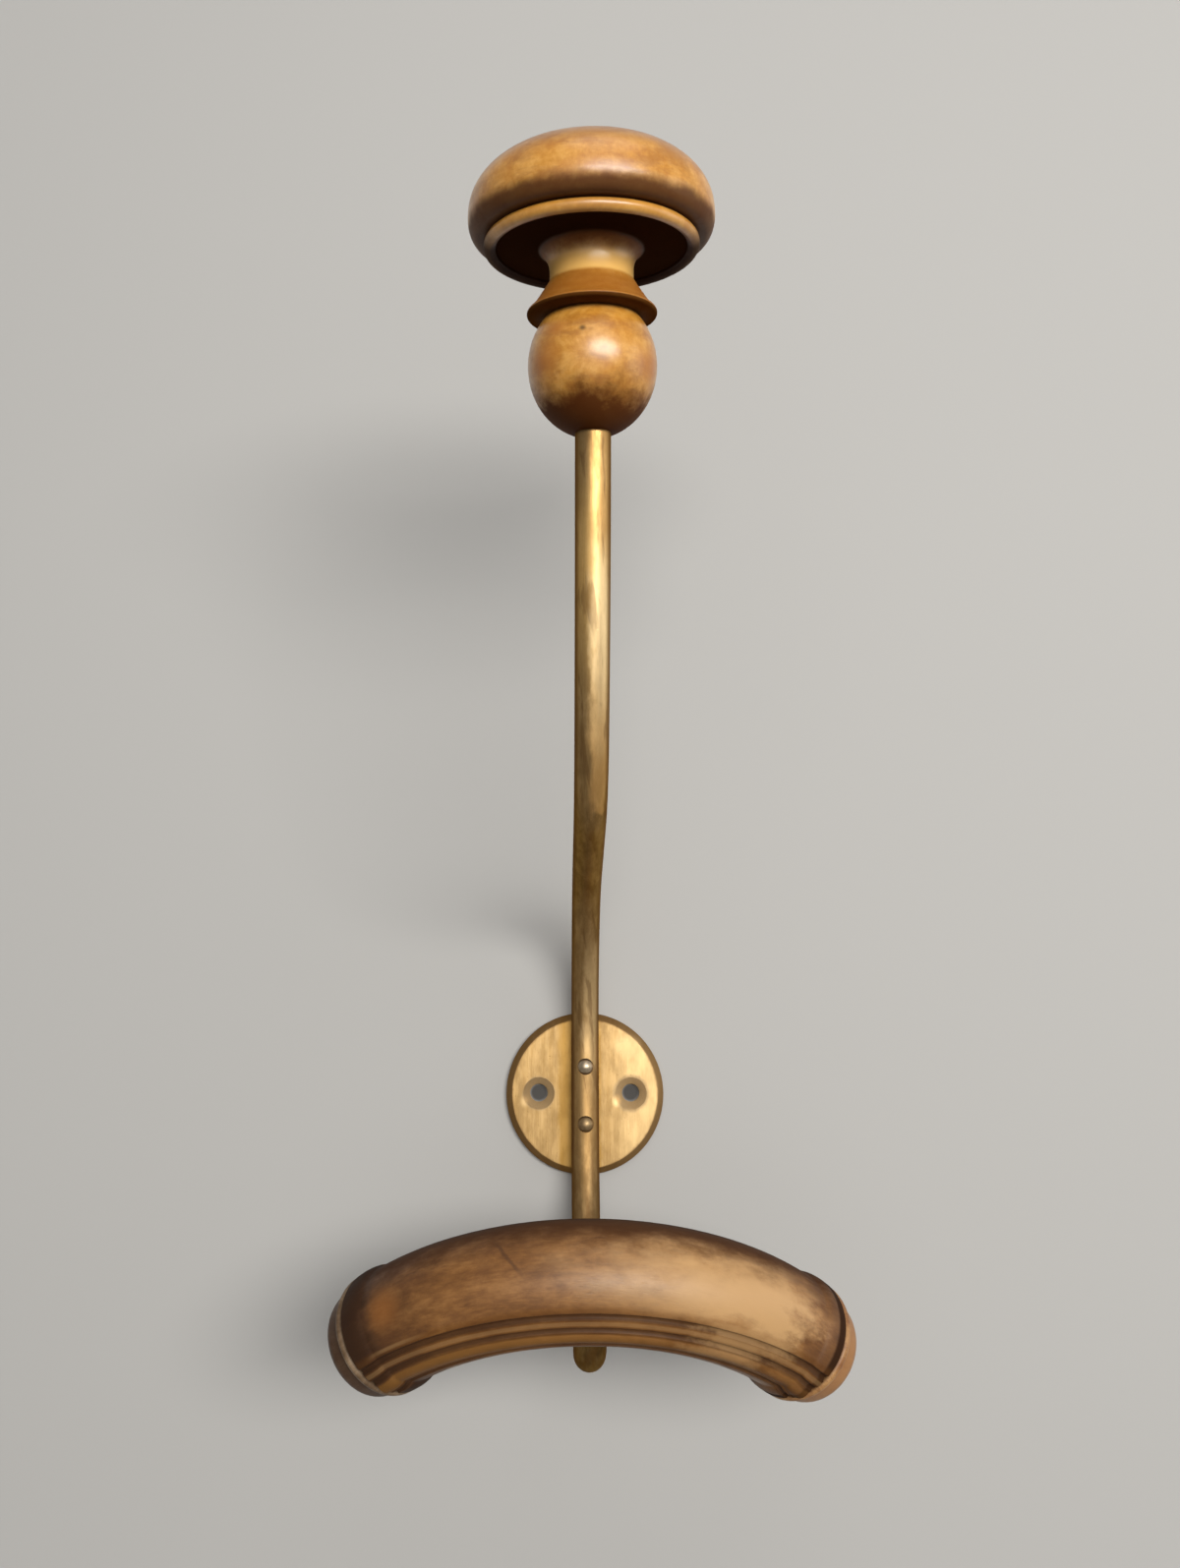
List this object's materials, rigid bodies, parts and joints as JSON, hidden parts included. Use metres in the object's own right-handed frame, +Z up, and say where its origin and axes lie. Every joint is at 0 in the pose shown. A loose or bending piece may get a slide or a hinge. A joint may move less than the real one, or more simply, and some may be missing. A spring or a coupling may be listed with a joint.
{
  "type": "coat hook",
  "caption": "Wall coat hook: a bent brass rod on a round plate, with a turned wooden hat knob above and a bentwood arch below for a coat's shoulders.",
  "frame": {"origin": "centre of the wall plate's back face, which lies against the wall", "axes": "+Z up, towards the knob; +X to the right as seen from the front; -Y away from the wall, so +Y points into it"},
  "size_m": [0.1253, 0.1565, 0.277],
  "materials": {
    "plate_brass": "brushed brass, with brown tarnish in the rim and the countersinks",
    "rod_brass": "worn brass, bright where it is handled and olive-brown elsewhere",
    "rivet_brass": "worn brass with a silvery shine on the round heads",
    "knob_wood": "turned wood under a polished golden-brown varnish",
    "arch_wood": "bent wood under a worn dark-brown varnish, paler where coats have rubbed it",
    "cap_wood": "turned wood under a dark-brown varnish, with paler edges"
  },
  "bodies": {
    "root": {"wall_plate": "plate_brass", "hook_rod": "rod_brass", "upper_rivet": "rivet_brass", "lower_rivet": "rivet_brass", "knob": "knob_wood", "coat_arch": "arch_wood", "left_end_cap": "cap_wood", "right_end_cap": "cap_wood"}
  },
  "joints": []
}
